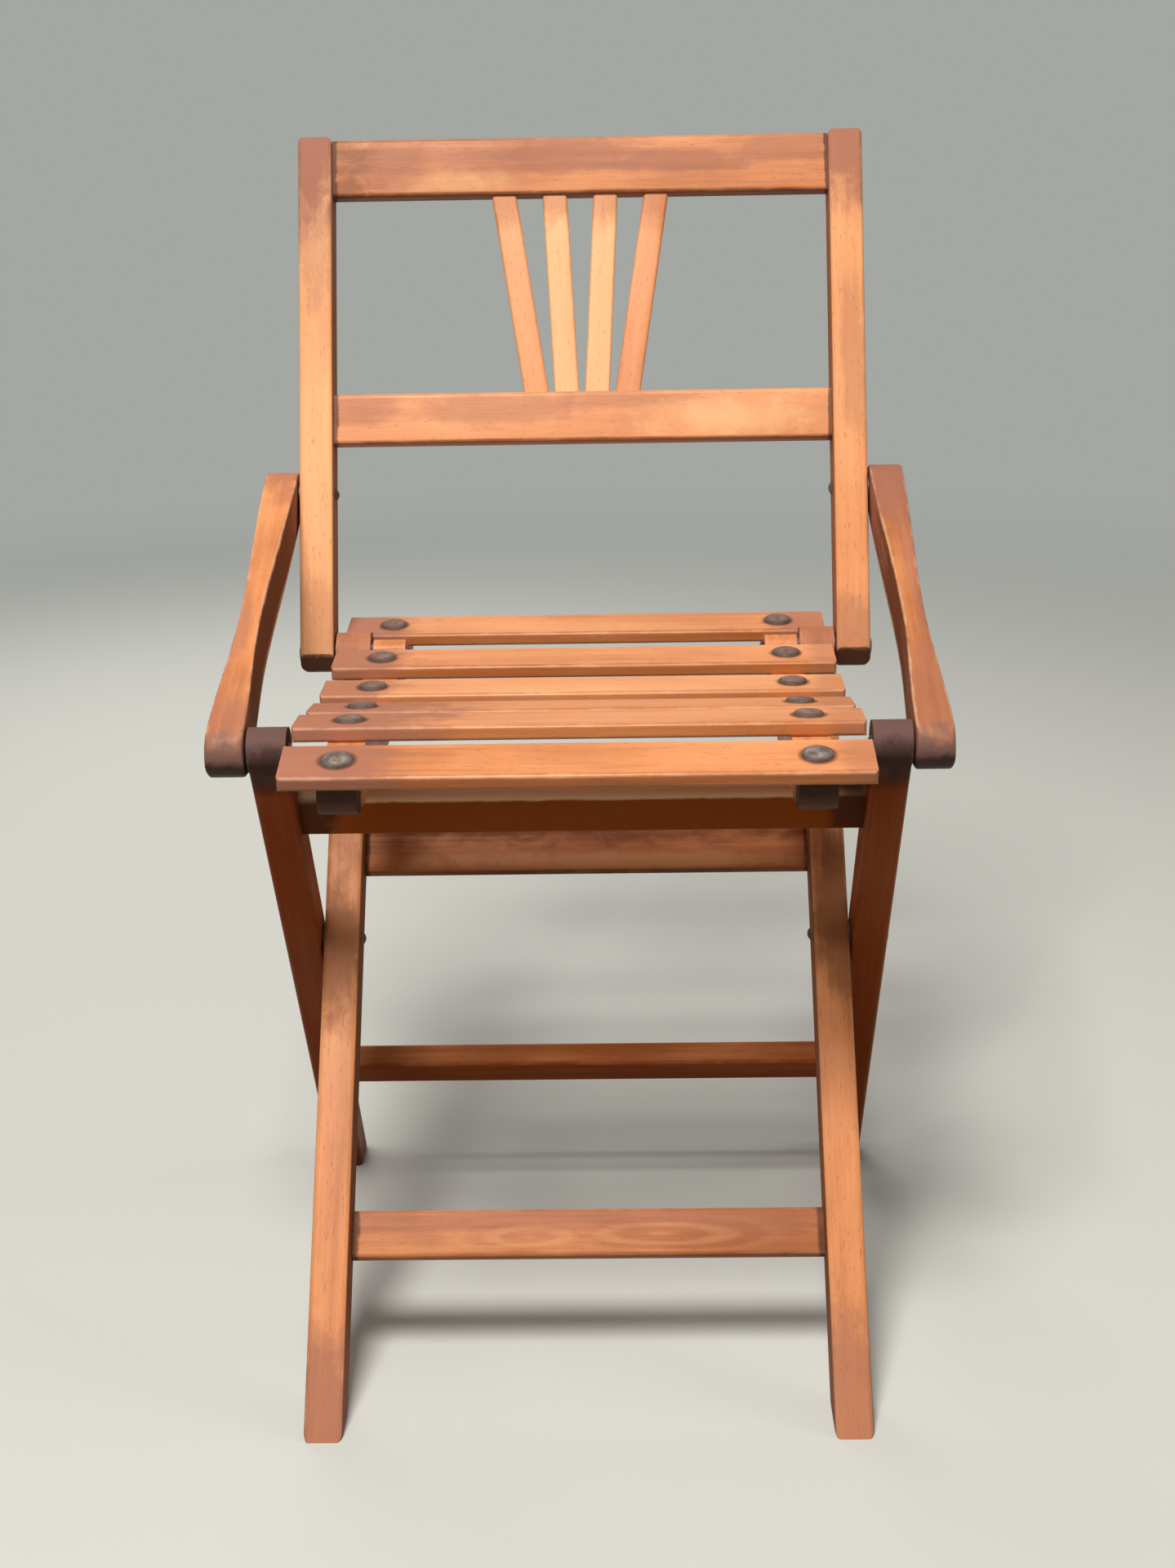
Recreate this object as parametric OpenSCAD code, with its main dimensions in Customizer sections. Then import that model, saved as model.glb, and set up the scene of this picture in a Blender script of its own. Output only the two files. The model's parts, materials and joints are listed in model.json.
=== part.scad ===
// Slatted wooden folding armchair, child size, standing open.
// X runs across the chair, -Y is its front, +Z is up, and the floor is at zero.
// Side-view points are pairs [y, z]. Each bar has its own frame: z along the bar, -y on its front.

/* [Frame] */
// Outer width over the rear legs and the back posts
frame_w = 300; // [260:1:360]
// Thickness of legs, posts and bearers across the chair
stock_w = 18; // [14:0.5:20]
// Space between two layers that turn on one pin
layer_gap = 1.1; // [0.9:0.1:2]
// Radius along the edges of the bars
edge_r = 2.5; // [1:0.25:4]
// Radius of the worn corners at the feet and the posts' ends, seen from the front
worn_r = 3; // [1:0.25:4]

/* [Legs] */
// Depth of the legs in side view
leg_d = 21; // [18:0.5:23]
// Height of the pin where the legs cross
cross_h = 180.8; // [165:0.2:190]
// Angle of the front legs from the floor
front_leg_tilt = 49.4; // [47:0.2:54]
// Angle of the rear legs from the floor
rear_leg_tilt = 57.4; // [54:0.2:60]
// Front legs from the crossing to the back's pin
front_leg_up = 160; // [152:1:168]
// Rear legs from the crossing to the arm's pin
rear_leg_up = 147.4; // [142:0.2:154]
// Front legs' upper rail from the crossing to its lower edge
upper_rail_up = 36; // [30:1:50]
// Front legs' rails, height along the legs
front_rail_h = 23; // [16:0.5:30]
// Front legs' rails, thickness
front_rail_t = 9; // [6:0.5:10]
// Front legs' lower rail from the crossing to its upper edge
lower_rail_down = 137.5; // [120:0.5:160]
// Front legs' rails in front of the legs' rear faces
front_rail_in = 1; // [0.5:0.25:3]
// Seat rail between the rear legs, height along the legs
seat_rail_h = 28.5; // [20:0.5:32]
// Seat rail, thickness
seat_rail_t = 13; // [9:0.5:14]
// Seat rail in front of the legs' rear faces
seat_rail_in = 0.5; // [0.25:0.25:2]
// Rear stretcher from the crossing to its upper edge
stretcher_down = 108; // [95:1:120]
// Rear stretcher, height along the legs
stretcher_h = 17.5; // [12:0.5:22]
// Rear stretcher, thickness
stretcher_t = 14; // [8:0.5:16]

/* [Back] */
// Lean of the back from upright
back_tilt = 21.1; // [17:0.1:24]
// Post from its pin to its top
post_l = 274.5; // [250:0.5:300]
// Depth of the posts in side view
post_d = 22; // [18:0.5:24]
// Post from its pin to its lower end
post_end = 10; // [9:0.5:12]
// Bevels at the post's lower end
post_bevel = 8; // [3:0.5:9]
// Post from its pin to the arm's pin
arm_pin_up = 84.2; // [80:0.2:92]
// Top rail, height
top_rail_h = 31; // [24:0.5:36]
// Post standing above the top rail
post_over = 0.5; // [0:0.5:10]
// Lower rail from the post's pin to its lower edge
lower_rail_up = 110; // [106:1:125]
// Lower rail, height
lower_rail_h = 27; // [20:0.5:32]
// Thickness of both back rails
back_rail_t = 11; // [9:0.5:13]
// Back rails behind the posts' front faces
back_rail_in = 3.5; // [1:0.5:5]
// Width of a splat
splat_w = 13; // [9:0.5:15]
// Thickness of a splat
splat_t = 6; // [4:0.5:7]
// Radius along the edges of the splats
splat_edge_r = 1.5; // [0.5:0.25:2]
// Spacing of the splats at the lower rail
splat_step_low = 16.2; // [15.5:0.1:22]
// Spacing of the splats at the top rail
splat_step_top = 27; // [20:0.5:34]

/* [Seat] */
// Length of the slats
slat_l = 256; // [230:1:258]
// Width of the slats
slat_w = 30; // [24:0.5:33]
// Thickness of the slats
slat_t = 7; // [5:0.5:9]
// Radius along the edges of the slats
slat_r = 2; // [0.5:0.25:2.25]
// Radius of the slats' corners, seen from above
slat_corner_r = 2.5; // [1:0.25:5]
// Spacing of the slats in front of the back's pin
slat_pitch = 48.8; // [42:0.2:50]
// Fifth slat in front of the back's pin
slat_before_pin = 40.6; // [38:0.2:46]
// Last slat behind the back's pin
slat_behind_pin = 26.5; // [26.5:0.5:30]
// Underside of slat 1 above the back's pin
slat_1_rise = 7.1; // [5:0.1:9]
// Slope of slat 1, positive with its front lower
slat_1_tilt = 11.7; // [9:0.1:15]
// Underside of slat 2 above the back's pin
slat_2_rise = 10.2; // [8:0.1:12]
// Slope of slat 2, positive with its front lower
slat_2_tilt = -4.3; // [-6:0.1:0]
// Underside of slat 3 above the back's pin
slat_3_rise = 2.4; // [1:0.1:5]
// Slope of slat 3, positive with its front lower
slat_3_tilt = -7.8; // [-10:0.1:-4]
// Underside of slat 4 above the back's pin
slat_4_rise = -1.4; // [-3:0.1:0]
// Slope of slat 4, positive with its front lower
slat_4_tilt = -0.2; // [-3:0.1:2]
// Underside of slat 5 above the back's pin
slat_5_rise = 0.5; // [-1:0.1:2]
// Slope of slat 5, positive with its front lower
slat_5_tilt = 3.7; // [2:0.1:7]
// Underside of slat 6 above the back's pin
slat_6_rise = 1; // [0:0.1:2]
// Slope of slat 6, positive with its front lower
slat_6_tilt = 5.9; // [4:0.1:9]
// Thickness of the curved bearers across the chair
bearer_w = 17; // [12:0.5:18]
// Bearer's underside below the back's pin where it lies on the seat rail
bearer_drop = 18.1; // [17:0.1:22]
// Bearer's underside rising from the seat rail to its front end
bearer_front_rise = 8.5; // [5:0.5:9]
// Radius of the bearer's boss around the back's pin
bearer_boss_r = 6.5; // [6:0.25:8]
// Bearer's underside below the back's pin where it lies beside it
bearer_boss_drop = 10; // [8:0.5:14]
// Bearer's underside from the back's pin to where it reaches the seat rail's height
bearer_slope_run = 50; // [40:1:70]
// Height of the bearer at its rear end
bearer_tail_h = 12; // [9:0.5:15]
// Bearer's front end behind the front edge of slat 1
bearer_front_in = 5; // [2:0.5:10]
// Bearer's rear end in front of the rear edge of slat 6
bearer_rear_in = 2.5; // [1:0.5:8]
// Bearer's front end cut away below, run along the bearer
bearer_nose_run = 7; // [4:0.5:10]
// Bearer's front end cut away below, rise
bearer_nose_rise = 3.5; // [2:0.5:6]
// Depth of the slats' beds in the bearers
bearer_bed = 0.5; // [0.25:0.25:2]

/* [Arms] */
// Width of the arms at their ends, seen from above
arm_w = 17.5; // [14:0.5:20]
// Width of the arms at the waist
arm_waist = 11; // [8:0.5:14]
// Waist along the arm from its nose, as a part of the pin distance
arm_waist_at = 0.4; // [0.3:0.05:0.6]
// Height of the arms in side view at their ends
arm_h = 24.5; // [20:0.5:28]
// Arms' lower edge below a straight line at its middle
arm_belly = 4; // [0:0.5:7]
// Radius along the arms' edges
arm_edge_r = 2; // [1:0.25:4]
// Flat left at the two round ends of an arm
arm_tip = 0.1; // [0.05:0.05:0.5]

/* [Pins and studs] */
// Radius of the pins
pin_r = 2.5; // [2:0.1:3]
// Running clearance of a pin in its bore
pin_fit = 0.06; // [0.02:0.01:0.1]
// Radius of the pins' heads
head_r = 5.5; // [4.5:0.25:6.5]
// Height of the pins' heads
head_h = 1.2; // [0.8:0.1:3]
// Radius of the pins' closed ends
end_r = 3.4; // [3.2:0.1:4]
// Height of the pins' closed ends
end_h = 2; // [1:0.25:3]
// Radius of the washers
washer_r = 7; // [5:0.5:8]
// Radius of the studs' heads on the slats
stud_r = 7.2; // [5:0.2:8]
// Height of the studs' heads
stud_h = 2.6; // [1.5:0.1:3.5]
// Radius of the studs' shanks
stud_shank_r = 2; // [1.5:0.1:2.5]
// Depth of the studs in the bearers
stud_in = 6; // [4:0.5:7]

/* [Joinery] */
// Length of the tenons in the legs and posts
tenon_l = 9; // [6:0.5:12]
// Shoulder around a tenon
shoulder = 2; // [1:0.25:2.5]
// Length of the splats' ends in the rails
splat_in = 6; // [4:0.5:9]
// Clearance of a glued joint and of parts that rest on each other
fit_gap = 0.05; // [0.02:0.01:0.1]
// Clearance where one moving part rests on another
rest_gap = 0.3; // [0.2:0.05:0.5]

/* [Hidden] */
$fn = 48;
left = -1;
right = 1;
sides = [left, right];
slat_count = 6;
splat_count = 4;

// Middle of each layer across the chair, from the outside inwards
post_x = (frame_w - stock_w) / 2;
arm_x = post_x + stock_w / 2 + layer_gap + arm_w / 2;
leg_x = post_x - stock_w - layer_gap;
bearer_x = leg_x - (stock_w + bearer_w) / 2 - layer_gap;
post_inner = post_x - stock_w / 2;
leg_inner = leg_x - stock_w / 2;

// Side view with the crossing at y = 0, before the model is centred over its floor box
function polar(length, angle) = [length * cos(angle), length * sin(angle)];
cross_at = [0, cross_h];
back_pin_at = cross_at + polar(front_leg_up, front_leg_tilt);
nose_pin_at = cross_at + polar(rear_leg_up, 180 - rear_leg_tilt);
arm_pin_at = back_pin_at + polar(arm_pin_up, 90 - back_tilt);
arm_run = arm_pin_at - nose_pin_at;
arm_l = norm(arm_run);
arm_tilt = atan2(arm_run[1], arm_run[0]);

// Middles of the six slats
slat_y = [
  for (i = [0 : slat_count - 1])
    i < slat_count - 1
      ? back_pin_at[0] - slat_before_pin - (slat_count - 2 - i) * slat_pitch
      : back_pin_at[0] + slat_behind_pin
];
slat_rise = [slat_1_rise, slat_2_rise, slat_3_rise, slat_4_rise, slat_5_rise, slat_6_rise];
slat_tilt = [slat_1_tilt, slat_2_tilt, slat_3_tilt, slat_4_tilt, slat_5_tilt, slat_6_tilt];
function slat_z(i) = back_pin_at[1] + slat_rise[i];
function stretch_of(y, s = 0) = s >= slat_count - 2 || y < slat_y[s + 1] ? s : stretch_of(y, s + 1);
function blend(t) = t * t * (3 - 2 * t);

// Height of the bearers' upper edge: it meets each slat at its middle with the slat's own slope
function seat_z(y) =
  let (
    s = stretch_of(y),
    run = slat_y[s + 1] - slat_y[s],
    t = (y - slat_y[s]) / run,
    k = min(max(t, 0), 1),
    slope_a = tan(slat_tilt[s]),
    slope_b = tan(slat_tilt[s + 1])
  )
  slat_z(s) + (slat_rise[s + 1] - slat_rise[s]) * blend(k)
    + run * (slope_a * k * (1 - k) * (1 - k) - slope_b * k * k * (1 - k))
    + run * (min(t, 0) * slope_a + max(t - 1, 0) * slope_b);

// Bearers
bearer_front_y = slat_y[0] - slat_w / 2 + bearer_front_in;
bearer_rear_y = slat_y[slat_count - 1] + slat_w / 2 - bearer_rear_in;
bearer_low = back_pin_at[1] - bearer_drop;

// Seat rail: its rear upper edge carries the bearers
seat_rail_back = leg_d / 2 - seat_rail_in;
seat_rail_top = (bearer_low - rest_gap - cross_h - seat_rail_back * cos(rear_leg_tilt)) / sin(rear_leg_tilt);
seat_rail_y = cross_at[0] - seat_rail_top * cos(rear_leg_tilt) + seat_rail_back * sin(rear_leg_tilt);

// Front and rear limits of the chair over the floor, which centre it
foot_front_y = -cross_h / tan(front_leg_tilt) - leg_d / 2 / sin(front_leg_tilt);
slat_front_y = slat_y[0] - slat_w / 2 * cos(slat_tilt[0]);
post_top_y = back_pin_at[0] + post_l * sin(back_tilt) + post_d / 2 * cos(back_tilt);
foot_rear_y = cross_h / tan(rear_leg_tilt) + leg_d / 2 / sin(rear_leg_tilt);
centre_y = (min(foot_front_y, slat_front_y) + max(post_top_y, foot_rear_y)) / 2;

// Cutting blocks reach well past the chair
reach = 2 * frame_w;

beech = "#c98a57";
beech_light = "#d69a66";
beech_red = "#b9714c";
steel = "#77706a";

// Moves a part from the crossing's frame to the centred frame
module centred() translate([0, -centre_y, 0]) children();

// Puts a bar's own frame at a side-view point, with its z along the given angle
module along(point, angle) translate([0, point[0], point[1]]) rotate([angle - 90, 0, 0]) children();

module front_leg_frame() along(cross_at, front_leg_tilt) children();
module rear_leg_frame() along(cross_at, 180 - rear_leg_tilt) children();
module post_frame() along(back_pin_at, 90 - back_tilt) children();
module arm_frame() along(nose_pin_at, arm_tilt) children();
module slat_frame(i)
  translate([0, slat_y[i], slat_z(i)]) rotate([slat_tilt[i], 0, 0]) children();

// A rectangle with true round corners, centred
module round_rect(w, d, r) {
  square([w - 2 * r, d], center = true);
  square([w, d - 2 * r], center = true);
  for (sx = sides, sy = sides) translate([sx * (w / 2 - r), sy * (d / 2 - r)]) circle(r);
}

// A bar with round edges from z = low to z = high
module bar(w, d, low, high, r = edge_r)
  translate([0, 0, low]) linear_extrude(height = high - low) round_rect(w, d, r);

// A cylinder across the chair, centred on x
module cross_rod(r, length, x = 0)
  translate([x, 0, 0]) rotate([0, 90, 0]) cylinder(r = r, h = length, center = true);

module bore_at(x, z, width = stock_w) translate([0, 0, z]) cross_rod(pin_r + pin_fit, 2 * width, x);

// An upright plate with round corners as seen from the front, from z = low to z = high;
// it reaches just past the sides of a bar, so it cuts only the bar's corners
module round_plate(x, low, high)
  translate([x, 0, (low + high) / 2]) rotate([90, 0, 0])
    linear_extrude(height = 2 * reach, center = true) round_rect(stock_w + 2 * fit_gap, high - low, worn_r);

// Cuts a leg off flat at the floor, with round corners
module on_floor(x) {
  intersection() {
    children();
    round_plate(x, 0, reach);
  }
}

// A bar across the chair with a smaller tenon on each end
module tenoned_rail(length, d, h, r = edge_r) {
  rotate([0, 90, 0]) linear_extrude(height = length, center = true) round_rect(h, d, r);
  tenon(length, d, h, 0);
}

module tenon(length, d, h, grow)
  cube([length + 2 * tenon_l + 2 * grow, d - 2 * shoulder + 2 * grow, h - 2 * shoulder + 2 * grow], center = true);

module mortise(length, d, h) tenon(length, d, h, fit_gap);

front_rail_y = leg_d / 2 - front_rail_in - front_rail_t / 2;
front_rail_places = [upper_rail_up + front_rail_h / 2, -lower_rail_down - front_rail_h / 2];

module front_rail_mortises()
  for (z = front_rail_places) translate([0, front_rail_y, z]) mortise(2 * leg_inner, front_rail_t, front_rail_h);

module front_leg(side) {
  on_floor(side * leg_x) front_leg_frame() difference() {
    union() {
      translate([side * leg_x, 0, 0]) bar(stock_w, leg_d, -2 * cross_h, front_leg_up);
      translate([0, 0, front_leg_up]) cross_rod(leg_d / 2, stock_w, side * leg_x);
    }
    bore_at(side * leg_x, 0);
    bore_at(side * leg_x, front_leg_up);
    front_rail_mortises();
  }
}

module front_rail(i)
  front_leg_frame() translate([0, front_rail_y, front_rail_places[i]])
    tenoned_rail(2 * leg_inner - 2 * fit_gap, front_rail_t, front_rail_h);

seat_rail_place = [seat_rail_back - seat_rail_t / 2, seat_rail_top - seat_rail_h / 2];
stretcher_place = [0, -stretcher_down - stretcher_h / 2];

module rear_leg(side) {
  on_floor(side * post_x) rear_leg_frame() difference() {
    union() {
      translate([side * post_x, 0, 0]) bar(stock_w, leg_d, -2 * cross_h, rear_leg_up);
      translate([0, 0, rear_leg_up]) cross_rod(leg_d / 2, stock_w, side * post_x);
    }
    bore_at(side * post_x, 0);
    bore_at(side * post_x, rear_leg_up);
    translate([0, seat_rail_place[0], seat_rail_place[1]]) mortise(2 * post_inner, seat_rail_t, seat_rail_h);
    translate([0, stretcher_place[0], stretcher_place[1]]) mortise(2 * post_inner, stretcher_t, stretcher_h);
  }
}

module seat_rail()
  rear_leg_frame() translate([0, seat_rail_place[0], seat_rail_place[1]])
    tenoned_rail(2 * post_inner - 2 * fit_gap, seat_rail_t, seat_rail_h);

module rear_stretcher()
  rear_leg_frame() translate([0, stretcher_place[0], stretcher_place[1]])
    tenoned_rail(2 * post_inner - 2 * fit_gap, stretcher_t, stretcher_h);

// Backrest
back_rail_y = -post_d / 2 + back_rail_in + back_rail_t / 2;
top_rail_z = post_l - post_over - top_rail_h / 2;
lower_rail_z = lower_rail_up + lower_rail_h / 2;
splat_low = lower_rail_up + lower_rail_h;
splat_top = post_l - post_over - top_rail_h;
splat_run = splat_top - splat_low;

module back_post(side) {
  post_frame() difference() {
    intersection() {
      translate([side * post_x, 0, 0]) bar(stock_w, post_d, -post_end, post_l);
      round_plate(side * post_x, -post_end, post_l);
    }
    for (s = sides) translate([side * post_x, s * post_d / 2, -post_end]) rotate([45, 0, 0])
      cube([2 * stock_w, post_bevel * sqrt(2), post_bevel * sqrt(2)], center = true);
    bore_at(side * post_x, 0);
    bore_at(side * post_x, arm_pin_up);
    translate([0, back_rail_y, top_rail_z]) mortise(2 * post_inner, back_rail_t, top_rail_h);
    translate([0, back_rail_y, lower_rail_z]) mortise(2 * post_inner, back_rail_t, lower_rail_h);
  }
}

// One splat leans outwards towards the top rail, with its ends let into both rails
module splat(i, grow = 0) {
  place = i - (splat_count - 1) / 2;
  low = [place * splat_step_low, splat_low];
  run = [place * splat_step_top, splat_top] - low;
  lean = atan2(run[0], run[1]);
  translate([low[0], back_rail_y, low[1]]) rotate([0, lean, 0])
    translate([0, 0, norm(run) / 2])
      cube([splat_w + 2 * grow, splat_t + 2 * grow, norm(run) + 2 * splat_in + 2 * grow], center = true);
}

module splat_round(i) {
  place = i - (splat_count - 1) / 2;
  low = [place * splat_step_low, splat_low];
  run = [place * splat_step_top, splat_top] - low;
  lean = atan2(run[0], run[1]);
  post_frame() translate([low[0], back_rail_y, low[1]]) rotate([0, lean, 0])
    bar(splat_w, splat_t, -splat_in, norm(run) + splat_in, splat_edge_r);
}

module back_rail(z, h)
  post_frame() difference() {
    translate([0, back_rail_y, z]) tenoned_rail(2 * post_inner - 2 * fit_gap, back_rail_t, h);
    for (i = [0 : splat_count - 1]) splat(i, fit_gap);
  }

// Seat
module slat_shape(grow = 0)
  translate([0, 0, slat_t / 2]) rotate([0, 90, 0])
    linear_extrude(height = slat_l + 2 * grow, center = true)
      round_rect(slat_t + 2 * grow, slat_w + 2 * grow, slat_r);

module stud_shanks(r)
  for (side = sides) translate([side * bearer_x, 0, -stud_in]) cylinder(r = r, h = stud_in + slat_t + stud_h / 2);

module seat_slat(i)
  slat_frame(i) difference() {
    intersection() {
      slat_shape();
      linear_extrude(height = 4 * slat_t, center = true)
        round_rect(slat_l + 2 * fit_gap, slat_w + 2 * fit_gap, slat_corner_r);
    }
    stud_shanks(stud_shank_r + fit_gap);
  }

module stud() {
  cap_r = (stud_r * stud_r + stud_h * stud_h) / (2 * stud_h);
  translate([0, 0, slat_t]) intersection() {
    translate([0, 0, stud_h - cap_r]) sphere(cap_r, $fn = 96);
    cylinder(r = stud_r, h = stud_h);
  }
  translate([0, 0, -stud_in]) cylinder(r = stud_shank_r, h = stud_in + slat_t + stud_h / 2);
}

module seat_studs()
  for (i = [0 : slat_count - 1], side = sides) slat_frame(i) translate([side * bearer_x, 0, 0]) stud();

// Side outline of a bearer: the seat curve above, a straight bed on the seat rail below,
// a round boss at the back's pin and a slim tail under the last slat
bearer_points = 40;
function bearer_top_line() = [
  for (i = [0 : bearer_points])
    let (y = bearer_front_y + (bearer_rear_y - bearer_front_y) * i / bearer_points)
    [y, seat_z(y) + bearer_bed]
];
function bearer_under_line() = [
  [bearer_rear_y, seat_z(bearer_rear_y) - bearer_tail_h],
  [back_pin_at[0], back_pin_at[1] - bearer_boss_drop],
  [back_pin_at[0] - bearer_slope_run, bearer_low],
  [seat_rail_y, bearer_low],
  [bearer_front_y + bearer_nose_run, bearer_low + bearer_front_rise - rest_gap],
  [bearer_front_y, bearer_low + bearer_front_rise + bearer_nose_rise]
];

module seat_bearer(side) {
  difference() {
    union() {
      translate([side * bearer_x, 0, 0]) rotate([90, 0, 90])
        linear_extrude(height = bearer_w, center = true) polygon(concat(bearer_top_line(), bearer_under_line()));
      along(back_pin_at, 90) cross_rod(bearer_boss_r, bearer_w, side * bearer_x);
    }
    for (i = [0 : slat_count - 1]) slat_frame(i) {
      slat_shape(fit_gap);
      stud_shanks(stud_shank_r + fit_gap);
    }
    along(back_pin_at, 90) bore_at(side * bearer_x, 0);
  }
}

// Arms: round ends on both pins, slim at the waist when seen from above
arm_stations = 24;
arm_ring = 24;
arm_r = arm_h / 2;
function arm_half_w(t) =
  let (from_waist = t < arm_waist_at ? (arm_waist_at - t) / arm_waist_at : (t - arm_waist_at) / (1 - arm_waist_at))
  (arm_waist + (arm_w - arm_waist) * blend(from_waist)) / 2;

// Half height of the arm's round-ended side outline at z along its pin line
function arm_half_h(z) =
  z < 0 ? sqrt(max(arm_r * arm_r - z * z, 0)) : z > arm_l ? sqrt(max(arm_r * arm_r - pow(z - arm_l, 2), 0)) : arm_r;
function arm_z(i) = arm_l / 2 - (arm_l / 2 + arm_r - arm_tip) * cos(180 * i / arm_stations);

// How far the lower edge hangs at z, none at the two ends
function arm_hang(z) = arm_belly * sin(180 * min(max(z / arm_l, 0), 1));

// One ring of the arm: a rectangle with round corners, always with the same count of points,
// and with a sliver of flat between two corners
corner_share = 0.98;
function corner_ring(w, h, hang, r, z) = [
  for (i = [0 : arm_ring - 1])
    let (
      a = 360 * (i + 0.5) / arm_ring,
      rr = min(r, w, h) * corner_share,
      cx = (w - rr) * sign(cos(a)),
      cy = (h - rr) * sign(sin(a)),
      drop = sin(a) > 0 ? hang : 0
    )
    [cx + rr * cos(a), cy + rr * sin(a) + drop, z]
];

module loft(rings) {
  n = len(rings[0]);
  last = len(rings) - 1;
  points = [for (ring = rings, p = ring) p];
  walls = [for (k = [0 : last - 1], i = [0 : n - 1]) [k * n + i, (k + 1) * n + i, (k + 1) * n + (i + 1) % n]];
  walls2 = [for (k = [0 : last - 1], i = [0 : n - 1]) [k * n + i, (k + 1) * n + (i + 1) % n, k * n + (i + 1) % n]];
  low_cap = [for (i = [0 : n - 1]) i];
  high_cap = [for (i = [n - 1 : -1 : 0]) last * n + i];
  polyhedron(points, concat([low_cap, high_cap], walls, walls2));
}

module arm(side) {
  rings = [
    for (i = [0 : arm_stations])
      let (z = arm_z(i))
      corner_ring(arm_half_w(min(max(z / arm_l, 0), 1)), arm_half_h(z), arm_hang(z), arm_edge_r, z)
  ];
  arm_frame() difference() {
    translate([side * arm_x, 0, 0]) loft(rings);
    bore_at(side * arm_x, 0, arm_w);
    bore_at(side * arm_x, arm_l, arm_w);
  }
}

// Pins: a domed head outside, a shank, and a closed end inside
module domed_end(r, h) {
  cap_r = (r * r + h * h) / (2 * h);
  intersection() {
    translate([0, 0, h - cap_r]) sphere(cap_r, $fn = 64);
    cylinder(r = r, h = h);
  }
}

// A pin across the chair on one side, from its head at x_out to its closed end at x_in
module pin(side, x_out, x_in, out_r = head_r, out_h = head_h) {
  mirror([side < 0 ? 1 : 0, 0, 0]) {
    translate([x_in, 0, 0]) rotate([0, 90, 0]) cylinder(r = pin_r, h = x_out - x_in);
    if (out_h > 0) translate([x_out, 0, 0]) rotate([0, 90, 0]) domed_end(out_r, out_h);
    translate([x_in, 0, 0]) rotate([0, -90, 0]) domed_end(end_r, end_h);
  }
}

post_outer = post_x + stock_w / 2 + fit_gap;
arm_outer = arm_x + arm_w / 2 + fit_gap;

module crossing_pin(side) along(cross_at, 90) pin(side, post_outer + rest_gap, leg_inner - fit_gap);
module back_pin(side) along(back_pin_at, 90) pin(side, post_outer + rest_gap, bearer_x - bearer_w / 2 - rest_gap);
module arm_rear_pin(side) along(arm_pin_at, 90) pin(side, arm_outer + rest_gap, post_inner - fit_gap);

// The arm's nose and the rear leg's knuckle each keep their own half of the pin between them
module arm_nose_pin(side) along(nose_pin_at, 90) mirror([side < 0 ? 1 : 0, 0, 0]) {
  translate([arm_x - arm_w / 2, 0, 0]) rotate([0, 90, 0]) cylinder(r = pin_r, h = arm_w + fit_gap);
  translate([arm_outer, 0, 0]) rotate([0, 90, 0]) domed_end(head_r, head_h);
}
module arm_nose_pin_ends()
  for (side = sides) along(nose_pin_at, 90) pin(side, post_x + stock_w / 2, post_inner - fit_gap, pin_r, 0);

// A washer on the face at x, reaching inwards or outwards along the pin
washer_t = layer_gap - rest_gap - fit_gap;
module washer(x, outwards)
  translate([x + (outwards ? washer_t / 2 + fit_gap : -washer_t / 2 - fit_gap), 0, 0]) difference() {
    cross_rod(washer_r, washer_t);
    cross_rod(pin_r + pin_fit, 2 * washer_t);
  }

module washers(point, x, outwards)
  along(point, 90) for (side = sides) mirror([side < 0 ? 1 : 0, 0, 0]) washer(x, outwards);

color(beech_light) centred() front_leg(left);  // front_leg_left
color(beech_light) centred() front_leg(right);  // front_leg_right
color(beech) centred() front_rail(0);  // front_leg_upper_rail
color(beech_red) centred() front_rail(1);  // front_leg_lower_rail
color(steel) centred() crossing_pin(left);  // crossing_pin_left
color(steel) centred() crossing_pin(right);  // crossing_pin_right
color(steel) centred() back_pin(left);  // back_pin_left
color(steel) centred() back_pin(right);  // back_pin_right
color(steel) centred() washers(cross_at, leg_x + stock_w / 2, true);  // crossing_washers
color(steel) centred() washers(back_pin_at, leg_x + stock_w / 2, true);  // back_pin_washers
color(steel) centred() washers(back_pin_at, leg_inner, false);  // seat_washers
color(beech_red) centred() rear_leg(left);  // rear_leg_left
color(beech_red) centred() rear_leg(right);  // rear_leg_right
color(beech_red) centred() seat_rail();
color(beech) centred() rear_stretcher();
color(steel) centred() arm_nose_pin_ends();
color(beech_light) centred() back_post(left);  // back_post_left
color(beech_light) centred() back_post(right);  // back_post_right
color(beech_red) centred() back_rail(top_rail_z, top_rail_h);  // back_top_rail
color(beech) centred() back_rail(lower_rail_z, lower_rail_h);  // back_lower_rail
color(beech) centred() splat_round(0);  // back_splat_1
color(beech_light) centred() splat_round(1);  // back_splat_2
color(beech_light) centred() splat_round(2);  // back_splat_3
color(beech) centred() splat_round(3);  // back_splat_4
color(steel) centred() arm_rear_pin(left);  // arm_rear_pin_left
color(steel) centred() arm_rear_pin(right);  // arm_rear_pin_right
color(steel) centred() washers(arm_pin_at, post_x + stock_w / 2, true);  // arm_rear_washers
color(beech_light) centred() seat_slat(0);  // seat_slat_1
color(beech) centred() seat_slat(1);  // seat_slat_2
color(beech_light) centred() seat_slat(2);  // seat_slat_3
color(beech) centred() seat_slat(3);  // seat_slat_4
color(beech_light) centred() seat_slat(4);  // seat_slat_5
color(beech_red) centred() seat_slat(5);  // seat_slat_6
color(beech) centred() seat_bearer(left);  // seat_bearer_left
color(beech) centred() seat_bearer(right);  // seat_bearer_right
color(steel) centred() seat_studs();
color(beech_light) centred() arm(left);  // arm_left
color(beech_light) centred() arm(right);  // arm_right
color(steel) centred() arm_nose_pin(left);  // arm_nose_pin_left
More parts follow.
